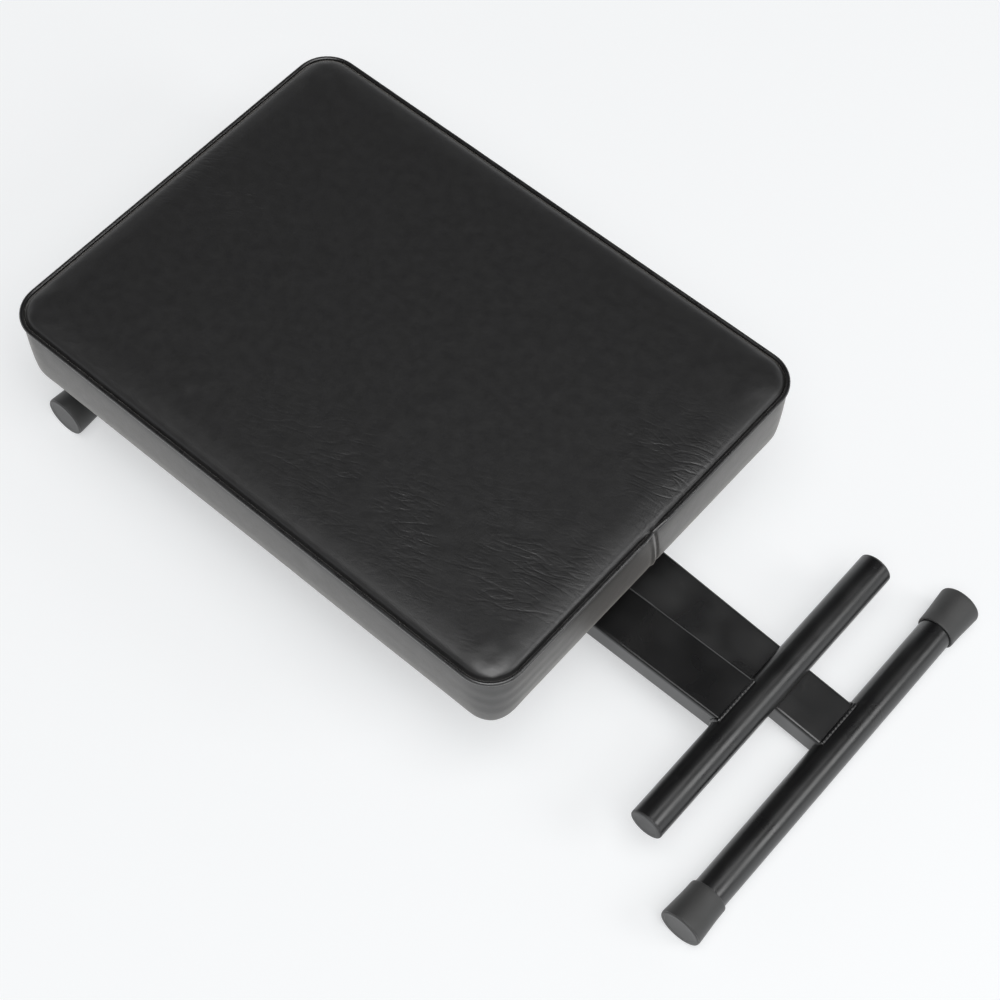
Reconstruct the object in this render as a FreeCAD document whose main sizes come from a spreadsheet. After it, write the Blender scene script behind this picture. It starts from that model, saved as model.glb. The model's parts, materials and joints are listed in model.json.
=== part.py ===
import FreeCAD, Part
import math
import os

import Sketcher
from FreeCAD import Placement, Rotation, Vector

# Folding keyboard bench, lying folded flat on its four rubber feet with the seat on top.
# X runs along the bench towards the exposed crossbars, Y across it, Z up.
# The origin is on the floor, under the middle of the bench's bounding box.
# Leg A is fixed. Leg B turns on the pivot bolt, and the seat turns on leg A's top crossbar.

# Driving dimensions, in millimetres and degrees.
DRIVING = {
    "tube_diameter": 25.4,
    "tube_wall": 1.5,
    "arm_width": 40.0,
    "arm_depth": 20.0,
    "arm_wall": 1.5,
    "arm_corner": 2.5,
    "arm_gap": 3.0,
    "top_reach": 229.5,
    "foot_reach": 287.5,
    "top_bar_length": 257.0,
    "foot_bar_length": 320.0,
    "weld_size": 2.2,
    "stop_gap": 0.4,
    "running_gap": 0.3,
    "open_half_angle": 54.2,
    "cap_length": 31.0,
    "cap_rim_radius": 14.4,
    "cap_end_radius": 16.0,
    "cap_end_wall": 3.0,
    "cap_edge": 1.4,
    "plug_lip": 1.6,
    "plug_edge": 0.8,
    "plug_depth": 13.0,
    "plug_stem_radius": 9.6,
    "plug_wall": 1.4,
    "plug_rib": 1.6,
    "bolt_radius": 5.0,
    "bolt_fit": 0.05,
    "bolt_head_flats": 17.0,
    "bolt_head_height": 6.4,
    "nut_height": 8.0,
    "bolt_tail": 3.0,
    "washer_radius": 10.5,
    "washer_thickness": 1.6,
    "bush_radius": 7.5,
    "plate_thickness": 2.5,
    "plate_hub_radius": 15.0,
    "plate_start_angle": 60.0,
    "plate_end_angle": 186.0,
    "pin_reach": 38.0,
    "pin_radius": 3.0,
    "pin_fit": 0.05,
    "pin_hole_radius": 3.25,
    "pin_travel": 8.0,
    "pin_collar_radius": 6.0,
    "pin_collar_thickness": 2.0,
    "height_step_angle": 12.5,
    "sleeve_radius": 5.0,
    "housing_radius": 9.0,
    "housing_length": 26.0,
    "housing_floor": 1.5,
    "housing_wall": 2.5,
    "spring_wire": 1.2,
    "knob_radius": 13.0,
    "knob_waist": 8.5,
    "knob_length": 20.0,
    "knob_neck": 6.0,
    "knob_flare": 11.0,
    "knob_bore": 12.0,
    "knob_edge": 2.5,
    "seat_half_length": 221.0,
    "seat_half_width": 159.0,
    "seat_corner": 23.0,
    "seat_height": 56.0,
    "seat_tilt": 3.0,
    "crown_height": 5.5,
    "crown_rounding": 0.25,
    "skin": 1.2,
    "dust_thickness": 0.6,
    "dust_inset": 9.0,
    "board_thickness": 12.0,
    "board_inset": 1.2,
    "foam_inset": 0.6,
    "flange_width": 25.0,
    "piping_radius": 1.8,
    "piping_offset": 2.5,
    "piping_rise": 0.7,
    "band_bulge": 3.2,
    "hinge_inset": 91.0,
    "batten_thickness": 9.0,
    "batten_width": 40.0,
    "batten_offset": 85.0,
    "batten_tail": 28.0,
    "batten_inset": 3.0,
    "batten_corner": 6.0,
    "screw_from_hinge": 60.0,
    "screw_from_end": 25.0,
    "wood_screw_radius": 2.1,
    "wood_screw_head": 4.2,
    "wood_screw_bite": 10.0,
    "clip_width": 30.0,
    "clip_thickness": 2.0,
    "clip_flange": 18.0,
    "clip_screw_radius": 2.5,
    "clip_screw_head": 4.8,
    "clip_screw_head_height": 3.0,
    "tee_nut_radius": 9.5,
    "tee_nut_flange": 1.5,
    "tee_nut_barrel": 3.4,
    "tee_nut_length": 9.5,
    "staple_crown": 10.0,
    "staple_wire": 0.7,
    "staple_width": 1.3,
    "staple_leg": 8.0,
    "staple_pitch": 44.0,
    "staple_inset": 14.0,
    "overcut": 1.0,
}

# Sections of the crowned top panel: distance in from the seam, and share of the crown's height.
CROWN_SECTIONS = ((0.3, 0.0), (1.0, 0.34), (4.5, 0.58), (16.0, 0.74), (44.0, 0.88), (96.0, 1.0))
# Sections of the side band: height as a share of the seat's, and share of the band's bulge.
BAND_SECTIONS = (
    (0.0, 0.1), (0.03, 0.5), (0.08, 0.75), (0.25, 0.93), (0.5, 1.0), (0.75, 0.94), (1.0, 0.78),
)
HEIGHT_HOLES = 3
WOOD_SCREWS = 3
PLUG_RIBS = 3


def worked_out(d):
    """Places and sizes that follow from the driving dimensions."""
    tube = d["tube_diameter"] / 2
    arm_offset = (d["arm_gap"] + d["arm_width"]) / 2
    stop = d["arm_depth"] / 2 + tube + d["stop_gap"]
    rest_angle = math.degrees(math.asin(stop / d["top_reach"])) / 2
    sine = math.sin(math.radians(rest_angle))
    cosine = math.cos(math.radians(rest_angle))
    pivot_z = d["cap_end_radius"] + d["foot_reach"] * sine
    hinge_drop = d["batten_thickness"] + d["running_gap"] + tube
    tilt = math.radians(d["seat_tilt"])
    hinge_to_centre = d["seat_half_length"] - d["hinge_inset"]
    hinge_x = -d["top_reach"] * cosine
    hinge_z = pivot_z + d["top_reach"] * sine
    seat_x = hinge_x + hinge_to_centre * math.cos(tilt) - hinge_drop * math.sin(tilt)
    seat_z = hinge_z + hinge_to_centre * math.sin(tilt) + hinge_drop * math.cos(tilt)
    piping_out = d["seat_half_length"] + d["piping_offset"]
    piping_z = d["seat_height"] + d["piping_rise"]
    seat_left = seat_x - piping_out * math.cos(tilt) - piping_z * math.sin(tilt) - d["piping_radius"]
    foot_right = d["foot_reach"] * cosine + d["cap_end_radius"]
    pivot_x = -(seat_left + foot_right) / 2
    lift = d["top_reach"] * math.sin(tilt + math.radians(rest_angle))
    housing_end = d["arm_gap"] / 2 + d["arm_width"] + d["housing_length"]
    return {
        "tube_radius": tube,
        "arm_offset": arm_offset,
        "arm_face": d["arm_gap"] / 2 + d["arm_width"],
        "rest_angle": rest_angle,
        "pivot_x": pivot_x,
        "pivot_z": pivot_z,
        "foot_a_x": pivot_x + d["foot_reach"] * cosine,
        "foot_b_x": pivot_x - d["foot_reach"] * cosine,
        "foot_z": d["cap_end_radius"],
        "top_a_x": pivot_x + hinge_x,
        "top_b_x": pivot_x - hinge_x,
        "top_z": hinge_z,
        "hinge_to_centre": hinge_to_centre,
        "hinge_drop": hinge_drop,
        "seat_x": pivot_x + seat_x,
        "seat_z": seat_z,
        "piping_z": piping_z,
        "band_height": piping_z - d["piping_radius"] - d["dust_thickness"],
        "clip_inside": tube + d["running_gap"],
        "clip_outside": tube + d["running_gap"] + d["clip_thickness"],
        "plate_radius": hinge_drop + lift - d["running_gap"],
        "pin_tip": d["plate_thickness"] - d["arm_gap"] / 2 + d["running_gap"],
        "housing_end": housing_end,
        "hex_radius": d["bolt_head_flats"] / math.sqrt(3),
        "board_bottom": d["dust_thickness"] + d["skin"],
        "board_top": d["dust_thickness"] + d["skin"] + d["board_thickness"],
        "fold_range": 2 * (d["open_half_angle"] - rest_angle),
    }


doc = FreeCAD.newDocument("FoldingBench")
sheet = doc.addObject("Spreadsheet::Sheet", "Sizes")
SIZES = dict(DRIVING)
SIZES.update(worked_out(DRIVING))
for row, (alias, number) in enumerate(SIZES.items(), start=1):
    sheet.set("A%d" % row, alias)
    sheet.set("B%d" % row, repr(number))
    sheet.setAlias("B%d" % row, alias)
doc.recompute()

sub_parts = []
Y_AXIS = Rotation(Vector(1, 0, 0), -90)


def size(alias):
    return float(getattr(sheet, alias))


def formula(text):
    """An expression whose bare words are names of cells in the sheet."""
    spaced = text.replace("(", "( ").replace(")", " )")
    return " ".join("Sizes." + word if word in SIZES else word for word in spaced.split())


def bind(thing, **properties):
    for name, text in properties.items():
        thing.setExpression(name, formula(text))


def at(thing, x="0", y="0", z="0", rotation=None):
    """Puts an object at formulas for x, y and z."""
    if rotation is not None:
        thing.Placement = Placement(Vector(0, 0, 0), rotation)
    for axis, text in (("x", x), ("y", y), ("z", z)):
        if text != "0":
            thing.setExpression("Placement.Base." + axis, formula(text))
    return thing


def value(text):
    """What a formula comes to with the sheet's present numbers."""
    found = sheet.evalExpression(formula(text))
    return float(getattr(found, "Value", found))


def rod(radius, length, x="0", y="0", z="0"):
    """A round bar along Y that starts at y."""
    thing = doc.addObject("Part::Cylinder", "Rod")
    bind(thing, Radius=radius, Height=length)
    return at(thing, x, y, z, Y_AXIS)


def post(radius, height, x="0", y="0", z="0"):
    """A round bar along Z that starts at z."""
    thing = doc.addObject("Part::Cylinder", "Post")
    bind(thing, Radius=radius, Height=height)
    return at(thing, x, y, z)


def block(length, width, height, x="0", y="0", z="0"):
    """A box with its low corner at x, y and z."""
    thing = doc.addObject("Part::Box", "Block")
    bind(thing, Length=length, Width=width, Height=height)
    return at(thing, x, y, z)


def hexagon(circumradius, height, y):
    """A six-sided bar along Y that starts at y."""
    thing = doc.addObject("Part::Prism", "Hexagon")
    thing.Polygon = 6
    bind(thing, Circumradius=circumradius, Height=height)
    return at(thing, y=y, rotation=Y_AXIS)


def cut(base, *tools):
    thing = doc.addObject("Part::Cut", "Cut")
    thing.Base = base
    thing.Tool = tools[0] if len(tools) == 1 else fuse(*tools)
    return thing


def fuse(*shapes):
    thing = doc.addObject("Part::MultiFuse", "Fuse")
    thing.Shapes = list(shapes)
    return thing


def common(base, tool):
    thing = doc.addObject("Part::Common", "Common")
    thing.Base = base
    thing.Tool = tool
    return thing


def group(*shapes):
    thing = doc.addObject("Part::Compound", "Group")
    thing.Links = list(shapes)
    return thing


def plane(body, role):
    return [item for item in body.Origin.OriginFeatures if item.Role == role][0]


def new_body(name):
    return doc.addObject("PartDesign::Body", name)


def new_sketch(body, role, height="0"):
    """A sketch on one of the body's own planes, moved along the plane's normal by height."""
    sketch = body.newObject("Sketcher::SketchObject", "Sketch")
    sketch.AttachmentSupport = (plane(body, role), [""])
    sketch.MapMode = "FlatFace"
    if height != "0":
        sketch.setExpression("AttachmentOffset.Base.z", formula(height))
    return sketch


def fix_point(sketch, geometry, point, x, y):
    """Holds a point of a sketch at formulas for x and y, counted from the sketch's origin."""
    for kind, axis, text in (("DistanceX", -2, x), ("DistanceY", -1, y)):
        if text == "0":
            sketch.addConstraint(Sketcher.Constraint("PointOnObject", geometry, point, axis))
            continue
        here = sketch.getPoint(geometry, point)
        span = here.x if kind == "DistanceX" else here.y
        index = sketch.addConstraint(Sketcher.Constraint(kind, -1, 1, geometry, point, span))
        sketch.setExpression("Constraints[%d]" % index, formula(text))


def draw(sketch, corners):
    """A closed outline of straight lines through corners, each a pair of formulas."""
    spots = [Vector(value(x), value(y), 0) for x, y in corners]
    for index, spot in enumerate(spots):
        sketch.addGeometry(Part.LineSegment(spot, spots[(index + 1) % len(spots)]), False)
    for index, (x, y) in enumerate(corners):
        before = (index - 1) % len(corners)
        sketch.addConstraint(Sketcher.Constraint("Coincident", before, 2, index, 1))
        fix_point(sketch, index, 1, x, y)


def rounded_rectangle(sketch, half_length, half_width, corner):
    """A rectangle about the sketch's origin with round corners."""
    across, up, radius = value(half_length), value(half_width), value(corner)
    first = sketch.GeometryCount
    turns = ((1, -1, 270), (1, 1, 0), (-1, 1, 90), (-1, -1, 180))
    for right, top, start in turns:
        centre = Vector(right * (across - radius), top * (up - radius), 0)
        ring = Part.Circle(centre, Vector(0, 0, 1), radius)
        arc = Part.ArcOfCircle(ring, math.radians(start), math.radians(start + 90))
        sketch.addGeometry(arc, False)
    for index in range(4):
        here = sketch.getPoint(first + index, 2)
        there = sketch.getPoint(first + (index + 1) % 4, 1)
        sketch.addGeometry(Part.LineSegment(here, there), False)
    for index in range(4):
        line = first + 4 + index
        sketch.addConstraint(Sketcher.Constraint("Tangent", first + index, 2, line, 1))
        sketch.addConstraint(Sketcher.Constraint("Tangent", line, 2, first + (index + 1) % 4, 1))
    for index, (right, top, start) in enumerate(turns):
        x = "%d * ( %s - ( %s ) )" % (right, half_length, corner)
        y = "%d * ( %s - ( %s ) )" % (top, half_width, corner)
        fix_point(sketch, first + index, 3, x, y)
        held = sketch.addConstraint(Sketcher.Constraint("Radius", first + index, radius))
        sketch.setExpression("Constraints[%d]" % held, formula(corner))


def pad(body, sketch, length):
    feature = body.newObject("PartDesign::Pad", "Pad")
    feature.Profile = sketch
    bind(feature, Length=length)
    return feature


def slab(half_length, half_width, corner, bottom, thickness):
    """A flat plate with round corners."""
    body = new_body("Slab")
    sketch = new_sketch(body, "XY_Plane", bottom)
    rounded_rectangle(sketch, half_length, half_width, corner)
    pad(body, sketch, thickness)
    return body


def turned(corners):
    """A solid of revolution about Y. Each corner is a radius and a place along Y."""
    body = new_body("Turned")
    sketch = new_sketch(body, "XY_Plane")
    draw(sketch, corners)
    feature = body.newObject("PartDesign::Revolution", "Revolution")
    feature.Profile = sketch
    feature.ReferenceAxis = (sketch, ["V_Axis"])
    feature.Angle = 360
    return body


def stack(sections):
    """A solid lofted through round-cornered rectangles: half length, half width, corner, height."""
    body = new_body("Stack")
    sketches = []
    for half_length, half_width, corner, height in sections:
        sketch = new_sketch(body, "XY_Plane", height)
        rounded_rectangle(sketch, half_length, half_width, corner)
        sketches.append(sketch)
    doc.recompute()
    loft = body.newObject("PartDesign::AdditiveLoft", "Loft")
    loft.Profile = sketches[0]
    loft.Sections = sketches[1:]
    loft.Ruled = True
    return body


FRAMES = {
    "leg_a": ("pivot_x", "pivot_z", "rest_angle", 1),
    "leg_b": ("pivot_x", "pivot_z", "rest_angle", -1),
    "seat": ("seat_x", "seat_z", "seat_tilt", -1),
    "foot_a": ("foot_a_x", "foot_z", None, 0),
    "foot_b": ("foot_b_x", "foot_z", None, 0),
    "top_a": ("top_a_x", "top_z", None, 0),
    "top_b": ("top_b_x", "top_z", None, 0),
}


def keep(label, thing, frame, y="0", flip=False):
    """Names a sub-part and puts it in its frame. A flipped one is turned end for end."""
    x, z, angle, sign = FRAMES[frame]
    thing.Label = label
    if angle:
        at(thing, x, y, z, Rotation(Vector(0, sign, 0), 1))
        thing.setExpression("Placement.Rotation.Angle", formula(angle))
    else:
        at(thing, x, y, z, Rotation(Vector(0, 0, 1), 180 if flip else 0))
    sub_parts.append(thing)
    return thing


def mirrored(sign, text):
    return text if sign > 0 else "-1 * ( %s )" % text


SIDES = (("near", -1), ("far", 1))
LEGS = (("a", 1, -1, 1), ("b", -1, 1, -1))


def arm(leg, side, top, foot):
    """A rectangular steel tube, cut to saddle the crossbars at its ends and bored at the pivot."""
    body = new_body("ArmTube")
    sketch = new_sketch(body, "YZ_Plane")
    rounded_rectangle(sketch, "arm_width / 2", "arm_depth / 2", "arm_corner")
    bore = ("arm_width / 2 - arm_wall", "arm_depth / 2 - arm_wall", "arm_corner - arm_wall")
    rounded_rectangle(sketch, *bore)
    pad(body, sketch, "top_reach + foot_reach")
    at(body, "-1 * top_reach" if top < 0 else "-1 * foot_reach", mirrored(side, "arm_offset"))
    start, length = "-1 * arm_face - overcut", "2 * ( arm_face + overcut )"
    holes = [
        rod("tube_radius", length, mirrored(top, "top_reach"), start),
        rod("tube_radius", length, mirrored(foot, "foot_reach"), start),
        rod("bush_radius", length, "0", start),
    ]
    if leg == "a":
        holes.append(rod("sleeve_radius", length, "-1 * pin_reach", start))
    keep("arm_" + leg, cut(body, *holes), "leg_" + leg)


def weld(label, leg, side, end):
    """The weld bead round three sides of an arm where it meets a crossbar."""
    reach = "top_reach" if label.startswith("top") else "foot_reach"
    x = mirrored(end, reach)
    low = "-1 * arm_face - weld_size" if side < 0 else "arm_gap / 2"
    length = "tube_radius + weld_size"
    around = block(length, "arm_width + weld_size", "arm_depth + 2 * weld_size",
                   x if end < 0 else x + " - " + length.replace("+", "-"), low,
                   "-1 * arm_depth / 2 - weld_size")
    collar = common(around, rod("tube_radius + weld_size", "2 * arm_face + 4 * weld_size", x,
                                "-1 * arm_face - 2 * weld_size"))
    inner = block("2 * ( %s )" % length, "arm_width", "arm_depth", x + " - " + length.replace("+", "-"),
                  "-1 * arm_face" if side < 0 else "arm_gap / 2", "-1 * arm_depth / 2")
    bar = rod("tube_radius", "2 * arm_face + 4 * weld_size", x, "-1 * arm_face - 2 * weld_size")
    keep("weld_" + label + "_" + leg, cut(collar, inner, bar), "leg_" + leg)


def crossbar(kind, leg):
    """A round steel tube across the end of an arm."""
    spare = "2 * plug_lip" if kind == "top" else "2 * cap_end_wall"
    length = "%s_bar_length - %s" % (kind, spare)
    start = "-1 * ( %s ) / 2" % length
    tube = rod("tube_radius", length, y=start)
    hollow = rod("tube_radius - tube_wall", length + " + 2 * overcut", y=start + " - overcut")
    keep("%s_bar_%s" % (kind, leg), cut(tube, hollow), "%s_%s" % (kind, leg))


def foot_cap(leg, name, side):
    """A flared rubber cap over the end of a foot bar. It stands on the floor."""
    corners = (
        ("tube_radius", "0"),
        ("cap_rim_radius", "0"),
        ("cap_end_radius", "cap_length - cap_edge"),
        ("cap_end_radius - cap_edge", "cap_length"),
        ("0", "cap_length"),
        ("0", "cap_length - cap_end_wall"),
        ("tube_radius", "cap_length - cap_end_wall"),
    )
    start = mirrored(side, "foot_bar_length / 2 - cap_length")
    keep("foot_cap_%s_%s" % (leg, name), turned(corners), "foot_" + leg, start, side < 0)


def end_plug(leg, name, side):
    """A plastic plug in the end of a top crossbar: a lip, a hollow stem and gripping ribs."""
    grip = "tube_radius - tube_wall"
    corners = [
        ("0", "plug_lip"),
        ("tube_radius - plug_edge", "plug_lip"),
        ("tube_radius", "plug_lip - plug_edge"),
        ("tube_radius", "0"),
        ("plug_stem_radius", "0"),
    ]
    for rib in range(1, PLUG_RIBS + 1):
        middle = "-1 * plug_depth * %d / %d" % (rib, PLUG_RIBS + 1)
        corners += [
            ("plug_stem_radius", middle + " + plug_rib / 2"),
            (grip, middle + " + plug_rib / 2"),
            (grip, middle + " - plug_rib / 2"),
            ("plug_stem_radius", middle + " - plug_rib / 2"),
        ]
    corners += [
        ("plug_stem_radius", "-1 * plug_depth"),
        ("plug_stem_radius - plug_wall", "-1 * plug_depth"),
        ("plug_stem_radius - plug_wall", "0"),
        ("0", "0"),
    ]
    start = mirrored(side, "top_bar_length / 2 - plug_lip")
    keep("end_plug_%s_%s" % (leg, name), turned(corners), "top_" + leg, start, side < 0)


def pivot():
    """The bolt that both arms turn on, its nut and washers, and a bush in each arm."""
    near = "-1 * arm_face - running_gap - washer_thickness"
    far = "arm_face + washer_thickness"
    head = hexagon("hex_radius", "bolt_head_height", near + " - bolt_head_height")
    span = "2 * arm_face + running_gap + 2 * washer_thickness + nut_height + bolt_tail"
    keep("pivot_bolt", fuse(head, rod("bolt_radius", span, y=near)), "leg_a")
    nut = hexagon("hex_radius", "nut_height", far)
    thread = rod("bolt_radius", "nut_height + 2 * overcut", y=far + " - overcut")
    keep("pivot_nut", cut(nut, thread), "leg_a")
    for name, low in (("near", near), ("far", "arm_face")):
        ring = rod("washer_radius", "washer_thickness", y=low)
        hole = rod("bolt_radius", "washer_thickness + 2 * overcut", y=low + " - overcut")
        keep("pivot_washer_" + name, cut(ring, hole), "leg_a")
    for leg, side, top, foot in LEGS:
        low = "arm_gap / 2" if side > 0 else "-1 * arm_face"
        sleeve = rod("bush_radius", "arm_width", y=low)
        bore = rod("bolt_radius + bolt_fit", "arm_width + 2 * overcut", y=low + " - overcut")
        keep("pivot_bush_" + leg, cut(sleeve, bore), "leg_" + leg)


def lock_plate():
    """A welded plate between the arms, with a hole for each height of the seat."""
    start = "-1 * arm_gap / 2"
    sector = rod("plate_radius", "plate_thickness", y=start)
    bind(sector, Angle="plate_end_angle - plate_start_angle")
    first_edge = Rotation(Vector(0, 1, 0), -size("plate_end_angle")).multiply(Y_AXIS)
    at(sector, y=start, rotation=first_edge)
    hub = rod("plate_hub_radius", "plate_thickness", y=start)
    through, low = "plate_thickness + 2 * overcut", start + " - overcut"
    holes = [rod("bolt_radius + running_gap", through, y=low)]
    for step in range(HEIGHT_HOLES):
        turn = "180 - 2 * rest_angle - fold_range + %d * height_step_angle" % step
        hole = rod("pin_hole_radius", through, y=low)
        hole.setExpression("Placement.Base.x", formula("pin_reach * cos( ( %s ) * 1 deg )" % turn))
        hole.setExpression("Placement.Base.z", formula("pin_reach * sin( ( %s ) * 1 deg )" % turn))
        holes.append(hole)
    keep("lock_plate", cut(fuse(sector, hub), *holes), "leg_b")


def pull_pin():
    """A spring-loaded pin in a housing through arm A, with a knob to pull it out by."""
    x = "-1 * pin_reach"
    inner, outer = "arm_gap / 2", "arm_face"
    sleeve = rod("sleeve_radius", "arm_width", x, inner)
    barrel = rod("housing_radius", "housing_length", x, outer)
    room = "housing_length - housing_floor - housing_wall"
    chamber = rod("pin_collar_radius + running_gap", room, x, outer + " + housing_floor")
    bore = rod("pin_radius + pin_fit", "arm_width + housing_length + 2 * overcut", x, inner + " - overcut")
    keep("pin_housing", cut(fuse(sleeve, barrel), chamber, bore), "leg_a")
    knob_start = "housing_end + running_gap"
    pin = rod("pin_radius", "housing_end + knob_bore - pin_tip", x, "pin_tip")
    collar_start = outer + " + housing_floor + running_gap"
    collar = rod("pin_collar_radius", "pin_collar_thickness", x, collar_start)
    keep("lock_pin", fuse(pin, collar), "leg_a")
    spring_start = collar_start + " + pin_collar_thickness"
    spring_length = room + " - running_gap - pin_collar_thickness"
    coil = rod("pin_collar_radius", spring_length, x, spring_start)
    inside = rod("pin_collar_radius - spring_wire", spring_length + " + 2 * overcut", x,
                 spring_start + " - overcut")
    keep("lock_spring", cut(coil, inside), "leg_a")
    corners = (
        ("pin_radius", "0"),
        ("knob_waist", "0"),
        ("knob_waist", "knob_neck"),
        ("knob_radius", "knob_flare"),
        ("knob_radius", "knob_length - knob_edge"),
        ("knob_radius - knob_edge", "knob_length"),
        ("0", "knob_length"),
        ("0", "knob_bore - running_gap"),
        ("pin_radius", "knob_bore - running_gap"),
    )
    knob = turned(corners)
    at(knob, x, knob_start)
    keep("pull_knob", group(knob), "leg_a")


def crown(extra):
    """The crown's sections, drawn in and lowered by a formula."""
    sections = []
    for inset, share in CROWN_SECTIONS:
        inward = "( %s + %s )" % (inset, extra)
        height = "seat_height + crown_height * %s" % share
        if share:
            height += " - ( %s )" % extra
        sections.append((
            "seat_half_length - " + inward,
            "seat_half_width - " + inward,
            "seat_corner + crown_rounding * " + inward,
            height,
        ))
    return sections


def top_panel():
    """The crowned top of the cover."""
    keep("seat_top_panel", cut(stack(crown("0")), stack(crown("skin"))), "seat")


def band(shrink, bottom, raised="0"):
    """The side band's sections, drawn in by a formula. The last one can be raised."""
    sections = []
    for share, bulge in BAND_SECTIONS:
        outward = "band_bulge * %s - %s" % (bulge, shrink)
        height = "dust_thickness + band_height * %s" % share if share else bottom
        if share == 1.0:
            height += " + " + raised
        sections.append((
            "seat_half_length + " + outward,
            "seat_half_width + " + outward,
            "seat_corner + " + outward,
            height,
        ))
    return sections


def side_band():
    """The cover's side, which bulges a little and is turned under the board."""
    hole = slab("seat_half_length - flange_width", "seat_half_width - flange_width", "seat_corner",
                "dust_thickness - overcut", "skin + 2 * overcut")
    room = stack(band("skin", "board_bottom", "overcut"))
    keep("seat_side_band", cut(cut(stack(band("0", "dust_thickness")), room), hole), "seat")


def piping():
    """The round cord sewn into the seam between the top panel and the side band."""
    runs = []
    for sign in (-1, 1):
        along = doc.addObject("Part::Cylinder", "Run")
        bind(along, Radius="piping_radius", Height="2 * ( seat_half_length - seat_corner )")
        at(along, "seat_corner - seat_half_length", mirrored(sign, "seat_half_width + piping_offset"),
           "piping_z", Rotation(Vector(0, 1, 0), 90))
        across = rod("piping_radius", "2 * ( seat_half_width - seat_corner )",
                     mirrored(sign, "seat_half_length + piping_offset"), "seat_corner - seat_half_width",
                     "piping_z")
        runs += [along, across]
    for turn, (right, back) in enumerate(((1, 1), (-1, 1), (-1, -1), (1, -1))):
        corner = doc.addObject("Part::Torus", "Bend")
        bind(corner, Radius1="seat_corner + piping_offset", Radius2="piping_radius")
        corner.Angle3 = 90
        at(corner, mirrored(right, "seat_half_length - seat_corner"),
           mirrored(back, "seat_half_width - seat_corner"), "piping_z", Rotation(Vector(0, 0, 1), 90 * turn))
        runs.append(corner)
    keep("seat_piping", fuse(*runs), "seat")


def wood_screw(x, y):
    """A countersunk screw from the batten's face into the board, as a cone and a shank."""
    head = doc.addObject("Part::Cone", "ScrewHead")
    bind(head, Radius1="wood_screw_head", Radius2="wood_screw_radius",
         Height="wood_screw_head - wood_screw_radius")
    at(head, x, y, "-1 * batten_thickness")
    shank = post("wood_screw_radius", "batten_thickness + wood_screw_bite", x, y, "-1 * batten_thickness")
    return [head, shank]


def wood_screw_spots(side):
    first = "screw_from_hinge - hinge_to_centre"
    last = "seat_half_length - batten_inset - screw_from_end"
    for index in range(WOOD_SCREWS):
        share = index / (WOOD_SCREWS - 1)
        yield "( %s ) * %s + ( %s ) * %s" % (first, 1 - share, last, share), mirrored(side, "batten_offset")


def clip_screw_spots(side):
    for way in ("-", "+"):
        yield "-1 * hinge_to_centre %s ( clip_outside + clip_flange / 2 )" % way, mirrored(side, "batten_offset")


def screw_holes():
    """Holes for every screw, long enough for the board, the dust cover and the battens."""
    holes = []
    low, length = "-1 * batten_thickness - overcut", "batten_thickness + board_top + 2 * overcut"
    for name, side in SIDES:
        for x, y in wood_screw_spots(side):
            holes += wood_screw(x, y)
        for x, y in clip_screw_spots(side):
            holes.append(post("clip_screw_radius", length, x, y, low))
    return holes


def seat_board():
    """The plywood board under the foam, drilled for the screws and counterbored for the tee nuts."""
    board = slab("seat_half_length - board_inset", "seat_half_width - board_inset", "seat_corner",
                 "board_bottom", "board_thickness")
    recesses = []
    for name, side in SIDES:
        for x, y in clip_screw_spots(side):
            recesses.append(post("tee_nut_radius", "tee_nut_flange + overcut", x, y,
                                 "board_top - tee_nut_flange"))
            recesses.append(post("tee_nut_barrel", "tee_nut_length + overcut", x, y,
                                 "board_top - tee_nut_flange - tee_nut_length"))
    keep("seat_board", cut(board, *screw_holes(), *recesses), "seat")


def seat_foam():
    """The foam block that fills the cover above the board."""
    sides = slab("seat_half_length - foam_inset", "seat_half_width - foam_inset", "seat_corner",
                 "board_top", "seat_height - board_top")
    keep("seat_foam", fuse(sides, stack(crown("skin + running_gap"))), "seat")


def dust_cover():
    """The thin cloth that closes the seat underneath."""
    cloth = slab("seat_half_length - dust_inset", "seat_half_width - dust_inset",
                 "seat_corner - dust_inset", "0", "dust_thickness")
    keep("dust_cover", cut(cloth, *screw_holes()), "seat")


def batten(name, side):
    """A wooden strip under the seat that rests on both top crossbars when the bench is open."""
    right = "seat_half_length - batten_inset"
    left = "( hinge_to_centre + batten_tail )"
    strip = slab("( %s + %s ) / 2" % (right, left), "batten_width / 2", "batten_corner",
                 "-1 * batten_thickness", "batten_thickness")
    at(strip, "( %s - %s ) / 2" % (right, left), mirrored(side, "batten_offset"))
    keep("seat_batten_" + name, cut(strip, *screw_holes()), "seat")


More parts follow.
